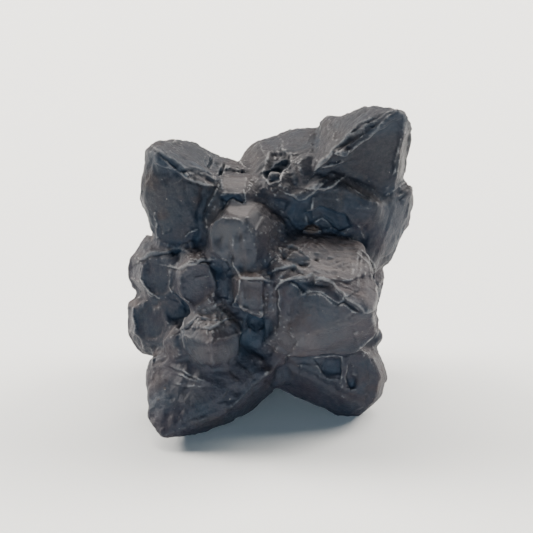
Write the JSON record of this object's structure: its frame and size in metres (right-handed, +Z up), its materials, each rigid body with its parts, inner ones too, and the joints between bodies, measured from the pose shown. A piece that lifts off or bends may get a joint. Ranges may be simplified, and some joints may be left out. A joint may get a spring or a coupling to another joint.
{
  "type": "goethite crystal cluster",
  "caption": "Natural cluster of dark, stepped, blunt-tipped crystals grown together into one stone that stands on the tips below.",
  "frame": {"origin": "on the floor plane, under the middle of the stone's bounding box", "axes": "+Z up as the stone stands, -Y towards the side with the large blunt crystal that stands out, +X to that side's right"},
  "size_m": [0.0406, 0.0402, 0.043],
  "materials": {
    "goethite": "satin, with a dull metallic sheen on worn faces"
  },
  "bodies": {
    "root": {"crystal_cluster": "goethite"}
  },
  "joints": []
}
